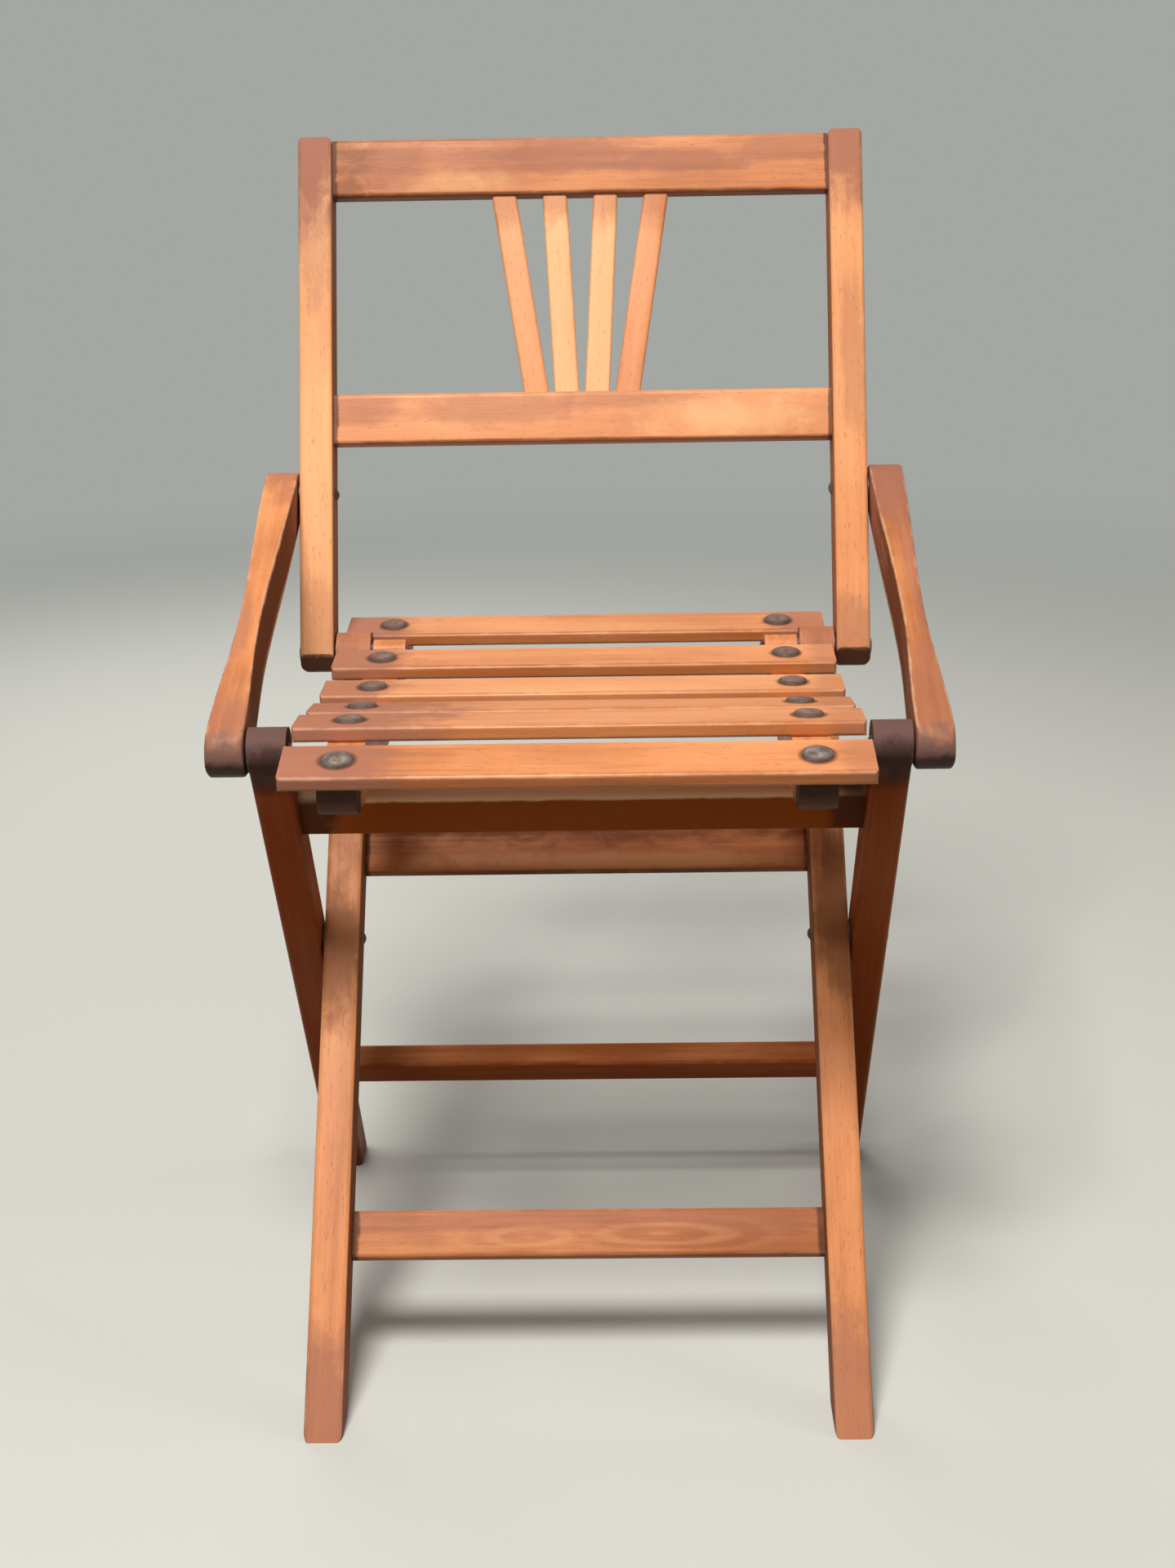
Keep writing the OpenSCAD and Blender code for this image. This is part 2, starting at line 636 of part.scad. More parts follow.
color(steel) centred() arm_nose_pin(right);  // arm_nose_pin_right
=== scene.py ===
"""Slatted beech folding armchair: finishes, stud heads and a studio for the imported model."""
import json
import math

import bpy
from mathutils import Matrix, Vector


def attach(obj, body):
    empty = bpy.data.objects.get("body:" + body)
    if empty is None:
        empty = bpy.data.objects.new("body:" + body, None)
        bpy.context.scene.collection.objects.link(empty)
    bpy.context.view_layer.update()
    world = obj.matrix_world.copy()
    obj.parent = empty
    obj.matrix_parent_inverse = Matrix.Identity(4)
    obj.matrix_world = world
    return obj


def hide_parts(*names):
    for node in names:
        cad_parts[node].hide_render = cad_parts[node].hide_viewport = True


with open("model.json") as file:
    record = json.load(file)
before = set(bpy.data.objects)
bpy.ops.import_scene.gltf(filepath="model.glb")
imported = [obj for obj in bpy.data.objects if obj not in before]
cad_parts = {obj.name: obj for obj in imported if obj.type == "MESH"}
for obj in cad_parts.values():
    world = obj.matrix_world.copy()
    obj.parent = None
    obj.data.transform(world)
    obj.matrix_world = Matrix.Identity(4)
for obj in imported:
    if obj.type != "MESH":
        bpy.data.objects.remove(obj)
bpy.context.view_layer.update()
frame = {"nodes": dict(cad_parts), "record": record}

MM = 0.001


# The chair's own measures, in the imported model's frame

def joint_place(name):
    """Where a joint's pin lies."""
    for joint in frame["record"]["behaviour"]["joints"]:
        if joint["name"] == name:
            return Vector(joint["pos_m"])
    raise KeyError(name)


CROSSING = joint_place("legs_fold")
BACK_PIN = joint_place("back_fold")
ARM_PIN = joint_place("left_arm_fold")
FRONT_LEG_TILT = math.radians(49.4)
REAR_LEG_TILT = math.radians(57.4)
BACK_TILT = math.radians(21.1)
REAR_LEG_UP = 147.4
NOSE_PIN = CROSSING + REAR_LEG_UP * MM * Vector((0, -math.cos(REAR_LEG_TILT), math.sin(REAR_LEG_TILT)))
ARM_RUN = ARM_PIN - NOSE_PIN
UPRIGHT = math.radians(90)

# In mm: how far out the pieces lie, and their sizes. The waist lies at this share of the arm, from its nose.
LEG_X = 121.9
POST_X = 141.0
ARM_X = 159.85
ARM_HALF = 8.75
ARM_DEEP = 12.25
WAIST_HALF = 5.5
WAIST_AT = 0.4
STUD_X = 103.3
STUD_RADIUS = 7.2
STUD_HEIGHT = 2.6
SLAT_HALF_LENGTH = 128
SLAT_HALF_WIDTH = 15
SLAT_THICK = 7.0
SPLAT_HALVES = (6.5, 3, 53)
SPLAT_PITCH_LOW = 16.2
SPLAT_PITCH_HIGH = 27
# Each slat's middle from the back's pin, its underside above it, and its slope
SLATS = [(-235.8, 7.1, 11.7), (-187.0, 10.2, -4.3), (-138.2, 2.4, -7.8), (-89.4, -1.4, -0.2),
         (-40.6, 0.5, 3.7), (26.5, 1.0, 5.9)]


class Lath:
    """The box that a piece of wood fills: its middle, its turn, half its sizes in mm, and the grain's axis."""

    def __init__(self, base, tilt, middle, halves, grain, lean=0.0):
        """tilt turns it about x and lean about its own y, both at base. Its middle is counted from base, in mm."""
        tilted = Matrix.Rotation(tilt, 3, "X")
        self.origin = base + tilted @ (Vector(middle) * MM)
        self.turn = (tilted @ Matrix.Rotation(lean, 3, "Y")).to_euler()
        self.halves = [half * MM for half in halves]
        self.grain = "xyz".index(grain)


def front_leg_part(middle, halves, grain):
    return Lath(CROSSING, FRONT_LEG_TILT - UPRIGHT, middle, halves, grain)


def rear_leg_part(middle, halves, grain):
    return Lath(CROSSING, UPRIGHT - REAR_LEG_TILT, middle, halves, grain)


def back_part(middle, halves, grain, lean=0.0):
    return Lath(BACK_PIN, -BACK_TILT, middle, halves, grain, lean)


def arm_part(x):
    length = ARM_RUN.length / MM
    tilt = math.atan2(ARM_RUN.z, ARM_RUN.y) - UPRIGHT
    return Lath(NOSE_PIN, tilt, (x, 0, length / 2), (ARM_HALF, ARM_DEEP, length / 2 + ARM_DEEP), "z")


def slat_frame(number):
    """The middle of a slat's underside, and its slope. Slats are counted from the front."""
    y, rise, slope = SLATS[number - 1]
    return BACK_PIN + Vector((0, y, rise)) * MM, math.radians(slope)


def slat_part(number):
    base, slope = slat_frame(number)
    halves = (SLAT_HALF_LENGTH, SLAT_HALF_WIDTH, SLAT_THICK / 2)
    return Lath(base, slope, (0, 0, SLAT_THICK / 2), halves, "x")


def splat_part(number):
    """Splats are counted from the left, and each leans out by its place in the fan."""
    place = number - 2.5
    lean = math.atan2(place * (SPLAT_PITCH_HIGH - SPLAT_PITCH_LOW), 2 * SPLAT_HALVES[2])
    return back_part((place * (SPLAT_PITCH_HIGH + SPLAT_PITCH_LOW) / 2, -2, 190), SPLAT_HALVES, "z", lean)


# Colours

def srgb(red, green, blue):
    """A colour as seen on a screen, 0 to 255, as the linear colour that the shader takes."""
    def linear(v):
        v /= 255
        return v / 12.92 if v <= 0.04045 else ((v + 0.055) / 1.055) ** 2.4
    return (linear(red), linear(green), linear(blue), 1.0)


HONEY = srgb(246, 180, 124)
ORANGE = srgb(224, 146, 94)
BROWN = srgb(162, 92, 50)
DEEP = srgb(146, 62, 2)
PORE = srgb(120, 66, 36)
STAINS = {
    "honey": srgb(252, 196, 140),
    "bare": srgb(242, 198, 162),
    # Painted light: a pale colour where light falls on an edge
    "painted_light": srgb(255, 208, 164),
    "plum": srgb(160, 105, 85),
    "brown": srgb(128, 80, 50),
    # Painted shade on slat fronts and splat tops
    "amber": srgb(170, 96, 42),
    # Dark dirt in joints and round heads, also painted shade under rails and at ends
    "grime_and_shade": srgb(70, 42, 30),
    "ash": srgb(104, 80, 76),
    # This colour and the next two are painted shade on faces that look away from the light
    "umber": srgb(96, 46, 12),
    "deep": srgb(142, 62, 0),
    "russet": srgb(162, 76, 0),
    # Dark end grain, also painted shade on the undersides of round ends
    "end_grain_and_shade": srgb(48, 32, 26),
}
STILL_GLOSSY = ("honey", "painted_light", "amber")


# Node expressions

class Sock:
    """A socket that takes part in Python arithmetic."""

    def __init__(self, tree, out):
        self.tree = tree
        self.out = out

    def math(self, operation, *values, clamp=False):
        settings = {"operation": operation, "use_clamp": clamp}
        return self.tree.node("ShaderNodeMath", settings, dict(enumerate(values)))

    def __add__(self, other): return self.math("ADD", self, other)
    def __radd__(self, other): return self.math("ADD", other, self)
    def __sub__(self, other): return self.math("SUBTRACT", self, other)
    def __rsub__(self, other): return self.math("SUBTRACT", other, self)
    def __mul__(self, other): return self.math("MULTIPLY", self, other)
    def __rmul__(self, other): return self.math("MULTIPLY", other, self)
    def __truediv__(self, other): return self.math("DIVIDE", self, other)
    def __rtruediv__(self, other): return self.math("DIVIDE", other, self)
    def __abs__(self): return self.math("ABSOLUTE", self)
    def least(self, other): return self.math("MINIMUM", self, other)
    def most(self, other): return self.math("MAXIMUM", self, other)
    def sine(self): return self.math("SINE", self)
    def power(self, other): return self.math("POWER", self, other)
    def clamped(self): return self.math("ADD", self, 0.0, clamp=True)

    def ramp(self, low, high):
        """0 below low, 1 above high, smooth between them."""
        return self.tree.node(
            "ShaderNodeMapRange", {"interpolation_type": "SMOOTHSTEP"},
            {"Value": self, "From Min": low, "From Max": high}, "Result")


class Tree:
    """Nodes of a material or of a shape, all made in one way."""

    def __init__(self, tree):
        self.nodes = tree.nodes
        self.links = tree.links

    def node(self, kind, settings=None, values=None, output=0):
        """A node with its settings first, then the values or links of its sockets."""
        made = self.nodes.new(kind)
        for key, value in (settings or {}).items():
            setattr(made, key, value)
        for key, value in (values or {}).items():
            if isinstance(value, Sock):
                self.links.new(value.out, made.inputs[key])
            else:
                made.inputs[key].default_value = value
        return None if output is None else Sock(self, made.outputs[output])

    def parts(self, vector):
        split = self.nodes.new("ShaderNodeSeparateXYZ")
        self.links.new(vector.out, split.inputs[0])
        return [Sock(self, split.outputs[i]) for i in range(3)]

    def vector(self, x=0.0, y=0.0, z=0.0):
        return self.node("ShaderNodeCombineXYZ", {}, {"X": x, "Y": y, "Z": z})

    def stretched(self, vector, stretch, shift=(0, 0, 0)):
        """A vector times stretch, plus shift."""
        return self.node("ShaderNodeVectorMath", {"operation": "MULTIPLY_ADD"}, {0: vector, 1: stretch, 2: shift})

    def noise(self, vector, scale, detail=3.0, roughness=0.55, distortion=0.0):
        return self.node(
            "ShaderNodeTexNoise", {},
            {"Vector": vector, "Scale": scale, "Detail": detail, "Roughness": roughness, "Distortion": distortion},
            "Fac")


class Finish(Tree):
    """A material with one shader."""

    def __init__(self, name):
        self.material = bpy.data.materials.new(name)
        self.material.use_nodes = True
        super().__init__(self.material.node_tree)
        self.nodes.clear()
        self.shader = self.nodes.new("ShaderNodeBsdfPrincipled")
        self.surface = self.nodes.new("ShaderNodeOutputMaterial")
        self.links.new(self.shader.outputs[0], self.surface.inputs["Surface"])

    def place(self, origin=(0, 0, 0), turn=(0, 0, 0)):
        """Object coordinates in a frame that lies at origin and is turned about it."""
        here = self.node("ShaderNodeTexCoord", output="Object")
        return self.node(
            "ShaderNodeMapping", {"vector_type": "TEXTURE"}, {"Vector": here, "Location": origin, "Rotation": turn})

    def reach(self, vector, middle, radii):
        """How far a point is from middle, where 1 is the surface of an egg with these radii, all in mm."""
        stretch = tuple(1 / (radius * MM) for radius in radii)
        shift = tuple(-place / radius for place, radius in zip(middle, radii))
        return self.node(
            "ShaderNodeVectorMath", {"operation": "LENGTH"}, {0: self.stretched(vector, stretch, shift)}, "Value")

    def blend(self, factor, a, b):
        """From colour a to colour b. The mixing node has its colours at sockets 6 and 7 and gives them at 2."""
        return self.node("ShaderNodeMix", {"data_type": "RGBA", "blend_type": "MIX"}, {0: factor, 6: a, 7: b}, 2)

    def set(self, **values):
        for key, value in values.items():
            socket = self.shader.inputs[key.replace("_", " ")]
            if isinstance(value, Sock):
                self.links.new(value.out, socket)
            else:
                socket.default_value = value

    def bump(self, height, strength, distance):
        normal = self.node(
            "ShaderNodeBump", {}, {"Height": height, "Strength": strength, "Distance": distance}, "Normal")
        self.set(Normal=normal)


# Beech

RUBBED_WIDTH = 1.6


def beech(name, lath, seed, tone, stains=(), worn=0.5, gloss=1.0, front=None, inner=None,
          studs=False, ovals=(), waist=False):
    """Varnished beech, its grain along the lath, rubbed paler along the edges.

    tone goes from brown at 0 to honey at 1. Each stain is a colour's name, its middle and its radii in mm, its
    strength, and how soft its border is, from 0 to 1. front is the colour and strength of painted shade on the
    face that looks down or forwards, and inner those of painted shade on the face towards the chair's middle.
    studs darkens the wood round two stud heads, ovals are the middles and radii of nests of rings in the figure,
    and waist says that the piece is slimmer between its ends.
    """
    f = Finish(name)
    local = f.place(lath.origin, lath.turn)
    shift = (seed * 1.37, seed * 0.73, seed * 2.11)

    def along_grain(share):
        stretch = [1.0, 1.0, 1.0]
        stretch[lath.grain] = share
        return f.stretched(local, tuple(stretch), shift)

    streaks = f.noise(along_grain(0.05), 170.0, 4.0, 0.62, 0.2)
    fine = f.noise(along_grain(0.04), 700.0, 3.0, 0.6)
    flecks = f.noise(along_grain(0.16), 1300.0, 1.0, 0.5)
    cloud = f.noise(along_grain(0.45), 24.0, 3.0, 0.5)
    patch = f.noise(along_grain(0.8), 70.0, 4.0, 0.65, 0.5)

    figure = streaks * 0.34 + cloud * 0.5 + fine * 0.16 + (tone - 0.5)
    colour = f.blend(figure.ramp(-0.1, 0.25), DEEP, BROWN)
    colour = f.blend(figure.ramp(0.2, 0.55), colour, ORANGE)
    colour = f.blend(figure.ramp(0.45, 0.9), colour, HONEY)
    colour = f.blend(fine.ramp(0.5, 0.72) * 0.2, colour, BROWN)
    colour = f.blend(flecks.ramp(0.64, 0.74) * 0.35, colour, PORE)
    if ovals:
        nests = [f.reach(local, middle, radii) for middle, radii in ovals]
        rings = nests[0].least(nests[1]) + (cloud - 0.5) * 0.8
        lines = (rings * 7.0 + streaks * 3.0).sine().ramp(-0.6, 1.0) * (1.0 - rings.ramp(0.9, 2.4))
        colour = f.blend(lines * 0.18, colour, HONEY)

    x, y, z = f.parts(local)
    halves = list(lath.halves)
    if waist:
        along = z / ARM_RUN.length + (0.5 - WAIST_AT)
        from_waist = (along / (1 - WAIST_AT)).most(along / -WAIST_AT).ramp(0, 1)
        halves[0] = from_waist * (ARM_HALF - WAIST_HALF) * MM + WAIST_HALF * MM
    dulled = patch.ramp(0.6, 0.75) * 0.3
    # Painted shade on the face towards the chair's middle
    if inner:
        kind, strength = inner
        inwards = x * -math.copysign(1.0, lath.origin.x)
        mask = ((inwards - halves[0]) / MM + (patch - 0.5) * 0.8).ramp(-0.9, -0.3) * strength
        colour = f.blend(mask, colour, STAINS[kind])
        dulled = dulled.most(mask * 1.6)
    # Painted shade on the face that looks down or forwards
    if front:
        kind, strength = front
        deep = lath.halves[1] / MM
        mask = (1.0 - (y / MM + (patch - 0.5) * 1.6).ramp(1.1 - deep, 2.4 - deep)) * strength
        mask = mask * (1.25 - streaks * 0.8).clamped()
        colour = f.blend(mask, colour, STAINS[kind])
    for kind, middle, radii, strength, *softness in stains:
        soft = softness[0] if softness else 0.6
        wander = (patch - 0.5) * (1.8 * soft) + (streaks - 0.5) * (1.1 * soft)
        mask = (1.0 - (f.reach(local, middle, radii) + wander).ramp(1 - 0.75 * soft, 1 + 0.25 * soft)) * strength
        colour = f.blend(mask, colour, STAINS[kind])
        if kind not in STILL_GLOSSY:
            dulled = dulled.most(mask)

    faces = [abs(axis) - half for i, (axis, half) in enumerate(zip((x, y, z), halves)) if i != lath.grain]
    edge = faces[0].least(faces[1]) + RUBBED_WIDTH * MM
    rubbed = (edge / MM + (patch - 0.5) * 4.0 + (streaks - 0.5) * 2.0).ramp(0.1, 1.5) * worn
    colour = f.blend(rubbed * 0.5, colour, STAINS["bare"])
    if studs:
        ring = f.reach(f.vector(abs(x), y), (STUD_X, 0, 0), (STUD_RADIUS, STUD_RADIUS, STUD_RADIUS))
        halo = (1.0 - (ring + (patch - 0.5) * 0.3).ramp(1.0, 1.32)) * 0.75
        colour = f.blend(halo, colour, STAINS["grime_and_shade"])
        dulled = dulled.most(halo)
    f.set(Base_Color=colour)

    f.set(Roughness=(0.36 + streaks * 0.12 + dulled * 0.22 + rubbed * 0.1 + fine * 0.06).clamped())
    f.set(Coat_Weight=((0.2 - dulled * 0.18) * gloss).clamped(), Coat_Roughness=0.3)
    f.set(Specular_IOR_Level=0.3 * gloss)
    f.bump(streaks * 0.5 + fine * 0.35 - flecks.ramp(0.6, 0.72) * 0.3 + patch * 0.4, 0.3, 0.0004)
    return f.material


# Steel, with the dull and the bright colour of its blotches first

STUD_STEEL = (srgb(124, 106, 98), srgb(178, 166, 160))
PIN_STEEL = (srgb(78, 62, 54), srgb(124, 108, 98))
RUST = srgb(84, 54, 40)
RIM = srgb(70, 52, 46)
VARNISHED = srgb(150, 106, 84)
SMEARS_BEGIN, SMEARS_FULL = -0.145, -0.12


def steel(name, seed, headed=False):
    """Old steel, grey-brown and blotched. Headed pieces are paler, with a dark rim, and those behind the first
    slat are smeared with varnish.
    """
    f = Finish(name)
    local = f.stretched(f.place(), (1, 1, 1), (seed, seed * 0.7, seed * 1.9))
    broad = f.noise(local, 230.0, 4.0, 0.6)
    specks = f.noise(local, 1000.0, 3.0, 0.6)
    rust = specks.ramp(0.55, 0.7)
    dull, bright = STUD_STEEL if headed else PIN_STEEL
    colour = f.blend(broad.ramp(0.35, 0.68), dull, bright)
    colour = f.blend(rust * 0.6, colour, RUST)
    dark = rust * 0.4
    if headed:
        smeared = f.parts(f.place())[1].ramp(SMEARS_BEGIN, SMEARS_FULL) * 0.5
        colour = f.blend(smeared, colour, VARNISHED)
        rim = f.node("ShaderNodeAttribute", {"attribute_name": "rim"}, {}, "Fac")
        band = (rim + (broad - 0.5) * 0.3).ramp(0.62, 0.88)
        colour = f.blend(band * 0.8, colour, RIM)
        dark = dark.most(band * 0.7)
    f.set(Base_Color=colour, Metallic=(0.6 - dark).clamped())
    f.set(Roughness=(0.36 + broad * 0.25 + dark * 0.2).clamped())
    f.bump(broad * 0.6 + specks * 0.4, 0.45, 0.0003)
    return f.material


# What each piece of wood looks like

def ends(half, kind, low, high, reach, across=30):
    """Stains at the two ends along z, with their strengths."""
    radii = (across, across, reach)
    return [(kind, (0, 0, -half), radii, low), (kind, (0, 0, half), radii, high)]


def tips(left_reach, left, right_reach, right):
    """Stains at a slat's left and right ends, with their reach and strength."""
    return [("plum", (-SLAT_HALF_LENGTH, 0, 0), (left_reach, 40, 40), left),
            ("plum", (SLAT_HALF_LENGTH, 0, 0), (right_reach, 40, 40), right)]


def shade(low):
    """Painted shade: a dark line along a back rail's lower edge."""
    return [("grime_and_shade", (0, 0, -low), (200, 30, 2.4), 0.55, 0.4)]


def seams(half, left=3, right=2.2):
    """Narrow dark lines where a rail's shoulders meet the uprights."""
    return [("grime_and_shade", (-half, 0, 0), (left, 60, 60), 0.8, 0.5),
            ("grime_and_shade", (half, 0, 0), (right, 60, 60), 0.8, 0.5)]


# Half sizes of the laths, in mm
FRONT_LEG = (9, 10.5, 204.2)
REAR_LEG = (9, 10.5, 186.2)
POST = (9, 11, 142.2)
FLAT_RAIL = (113, 4.5, 11.5)

# Stains that pieces share
# ash is the end grain's grey tone; the darker marks on the lower parts of the round noses and knuckles are end
# grain with painted shade
NOSE = [("ash", (0, 0, -132), (40, 20, 20), 0.8, 0.6), ("end_grain_and_shade", (0, 10, -129), (40, 13, 12), 0.85, 0.4)]
KNUCKLE = [("ash", (0, 0, 184), (40, 40, 24), 0.95, 0.4), ("end_grain_and_shade", (0, -2, 162), (40, 12, 9), 0.5),
           ("end_grain_and_shade", (0, -10, 176), (40, 7, 12), 0.6, 1.0), ("grime_and_shade", (0, 0, -188), (30, 30, 30), 0.4)]
# A dark band at each post's lower end: end grain with painted shade
POST_FOOT = [("grime_and_shade", (0, 0, -146), (80, 80, 12), 0.9, 0.25)]
# Painted shade at the top of each splat, under the top rail
SPLAT_TOP_SHADE = [("amber", (0, 0, 53), (30, 30, 18), 0.6, 1.0)]

# What else pieces share, as beech takes it
# The slats' front colour is painted shade on their front faces, strongest on the darkest slats
PALE_SLAT = {"front": ("amber", 0.6), "studs": True}
MIDDLE_SLAT = {"front": ("amber", 0.7), "studs": True}
DARK_SLAT = {"front": ("amber", 0.9), "studs": True}
UNDER = {"gloss": 0.2}
# inner paints shade on the faces towards the chair's middle
SHADED_LEG = {"gloss": 0.4, "inner": ("umber", 0.75)}
SHADED_POST = {"gloss": 0.6, "inner": ("umber", 0.7)}
SHADED_ARM = {"gloss": 0.7, "inner": ("umber", 0.9), "waist": True}

# Each piece's lath, tone, stains, worn edges, and what else it has
WOOD = {
    "front_leg_left": (
        front_leg_part((-LEG_X, 0, -33.8), FRONT_LEG, "z"), 0.46,
        ends(204, "plum", 0.75, 0.6, 50)
        + [("brown", (-4, -10, 24), (16, 14, 44), 0.7), ("brown", (0, -10, 130), (14, 14, 60), 0.6)],
        0.4, SHADED_LEG),
    "front_leg_right": (
        front_leg_part((LEG_X, 0, -33.8), FRONT_LEG, "z"), 0.44,
        ends(204, "plum", 0.6, 0.6, 60)
        + [("brown", (4, -10, 44), (14, 14, 50), 0.75), ("brown", (0, -10, 130), (14, 14, 60), 0.5)],
        0.4, SHADED_LEG),
    # This rail lies under the seat: its darkening from the top edge down is painted shade, with a paler band lower
    # down and a dark line along its lower edge
    "front_leg_upper_rail": (
        front_leg_part((0, 5, 47.5), FLAT_RAIL, "x"), 0.24,
        seams(113)
        + [("grime_and_shade", (0, 0, 15), (160, 30, 17), 0.7, 1.0), ("grime_and_shade", (0, 0, -12.5), (130, 30, 1.4), 0.8, 0.3),
           ("honey", (0, 0, -7), (130, 30, 6), 0.25, 1.0)],
        0.2, UNDER),
    "front_leg_lower_rail": (
        front_leg_part((0, 5, -149), FLAT_RAIL, "x"), 0.3,
        seams(113, 4, 4) + [("plum", (-20, 0, 6), (90, 20, 7), 0.35), ("plum", (80, 0, 5), (40, 20, 8), 0.35)],
        0.3, {"gloss": 0.45, "ovals": [((34, 0, -1), (30, 40, 5)), ((-28, 0, -2), (22, 40, 5))]}),
    # The rear legs' very low tone is partly painted shade: they face down and forwards under the seat
    "rear_leg_left": (rear_leg_part((-POST_X, 0, -28.4), REAR_LEG, "z"), 0.02, KNUCKLE, 0.15, UNDER),
    "rear_leg_right": (rear_leg_part((POST_X, 0, -28.4), REAR_LEG, "z"), 0.02, KNUCKLE, 0.15, UNDER),
    # The seat rail's low tone is partly painted shade, and its russet front is painted shade under the first slat.
    # The pale band along its top edge is painted light, and its wide dark ends dim that band beyond the bearers
    "seat_rail": (
        rear_leg_part((0, 3.5, 101.7), (132, 6.5, 14.25), "x"), 0.06,
        [("painted_light", (0, -2, 17), (500, 30, 7), 1.0, 0.3)] + seams(132, 18, 18),
        0.1, {"gloss": 0.2, "front": ("russet", 0.9)}),
    # The stretcher's deep front is painted shade on the face that looks down and forwards
    "rear_stretcher": (
        rear_leg_part((0, 0, -116.8), (132, 7, 8.75), "x"), 0.3,
        seams(132), 0.2, {"gloss": 0.2, "front": ("deep", 0.9)}),
    "back_post_left": (
        back_part((-POST_X, 0, 132.2), POST, "z"), 0.75,
        ends(142, "plum", 0.4, 0.95, 58) + [("plum", (0, -11, 92), (14, 14, 44), 0.45)] + POST_FOOT,
        0.5, SHADED_POST),
    "back_post_right": (
        back_part((POST_X, 0, 132.2), POST, "z"), 0.6,
        ends(142, "plum", 0.5, 0.85, 48) + [("plum", (2, -11, 20), (8, 14, 45), 0.35)] + POST_FOOT,
        0.5, SHADED_POST),
    "back_top_rail": (
        back_part((0, -2, 258.5), (132, 5.5, 15.5), "x"), 0.38,
        [("plum", (-102, 0, 2), (30, 20, 15), 0.6), ("plum", (-10, 0, 6), (50, 20, 14), 0.65),
         ("plum", (52, 0, 1), (46, 20, 7), 0.6), ("plum", (110, 0, 8), (34, 20, 12), 0.5),
         ("honey", (-62, 0, -8), (34, 20, 9), 0.3, 1.0), ("brown", (-128, 0, 0), (20, 20, 30), 0.7, 1.0)]
        + shade(16) + seams(132),
        0.4, {"gloss": 0.7}),
    "back_lower_rail": (
        back_part((0, -2, 123.5), (132, 5.5, 13.5), "x"), 0.5,
        [("plum", (-42, 0, 4), (54, 20, 11), 0.4), ("plum", (-118, 0, 6), (26, 20, 10), 0.4),
         ("plum", (20, 0, 9), (50, 20, 6), 0.3), ("honey", (76, 0, -2), (50, 20, 12), 0.5, 1.0)]
        + shade(14) + seams(132),
        0.4, {}),
    "back_splat_1": (splat_part(1), 0.58, SPLAT_TOP_SHADE, 0.3, {}),
    "back_splat_2": (splat_part(2), 0.8, SPLAT_TOP_SHADE, 0.3, {}),
    "back_splat_3": (splat_part(3), 0.8, SPLAT_TOP_SHADE, 0.3, {}),
    "back_splat_4": (splat_part(4), 0.56, SPLAT_TOP_SHADE, 0.3, {}),
    "arm_left": (
        arm_part(-ARM_X), 0.44,
        ends(132, "plum", 0.6, 0.65, 55) + [("plum", (-6, -12, -30), (8, 10, 46), 0.5)] + NOSE,
        0.9, SHADED_ARM),
    "arm_right": (
        arm_part(ARM_X), 0.36,
        ends(132, "plum", 0.5, 0.9, 95) + [("plum", (6, -12, 10), (8, 10, 60), 0.5)] + NOSE,
        0.9, SHADED_ARM),
    "seat_slat_1": (slat_part(1), 0.46, tips(56, 0.85, 18, 0.4), 0.6, DARK_SLAT),
    "seat_slat_2": (slat_part(2), 0.49, tips(76, 0.85, 20, 0.4), 0.5, MIDDLE_SLAT),
    "seat_slat_3": (slat_part(3), 0.49, tips(84, 0.85, 24, 0.5), 0.5, PALE_SLAT),
    "seat_slat_4": (slat_part(4), 0.62, tips(40, 0.75, 16, 0.4), 0.5, PALE_SLAT),
    "seat_slat_5": (slat_part(5), 0.52, tips(46, 0.8, 16, 0.45), 0.5, DARK_SLAT),
    "seat_slat_6": (slat_part(6), 0.5, tips(40, 0.85, 34, 0.7), 0.5, DARK_SLAT),
}
# The bearers' dark front ends are end grain with painted shade under the first slat
for side, x in (("left", -STUD_X), ("right", STUD_X)):
    WOOD["seat_bearer_" + side] = (
        Lath(BACK_PIN, 0.0, (x, -100, -4), (8.5, 140, 12), "y"), 0.4,
        [("end_grain_and_shade", (0, -150, 0), (40, 26, 40), 0.95, 0.3)], 0.3, {"gloss": 0.6})


# Shapes made by node trees

SMOOTH_UNDER = math.radians(32)
HEAD_SMOOTH_UNDER = math.radians(38)
WELD = 0.002 * MM

# A head's outline, over shares of its radius: how flat its crown is, how steep its shoulder, where its groove
# lies and how narrow that is
CROWN = 2.3
SHOULDER = 0.62
GROOVE_AT = 0.8
GROOVE_NARROW = 12.0
HEAD_SIDES = 40
HEAD_RINGS = 18


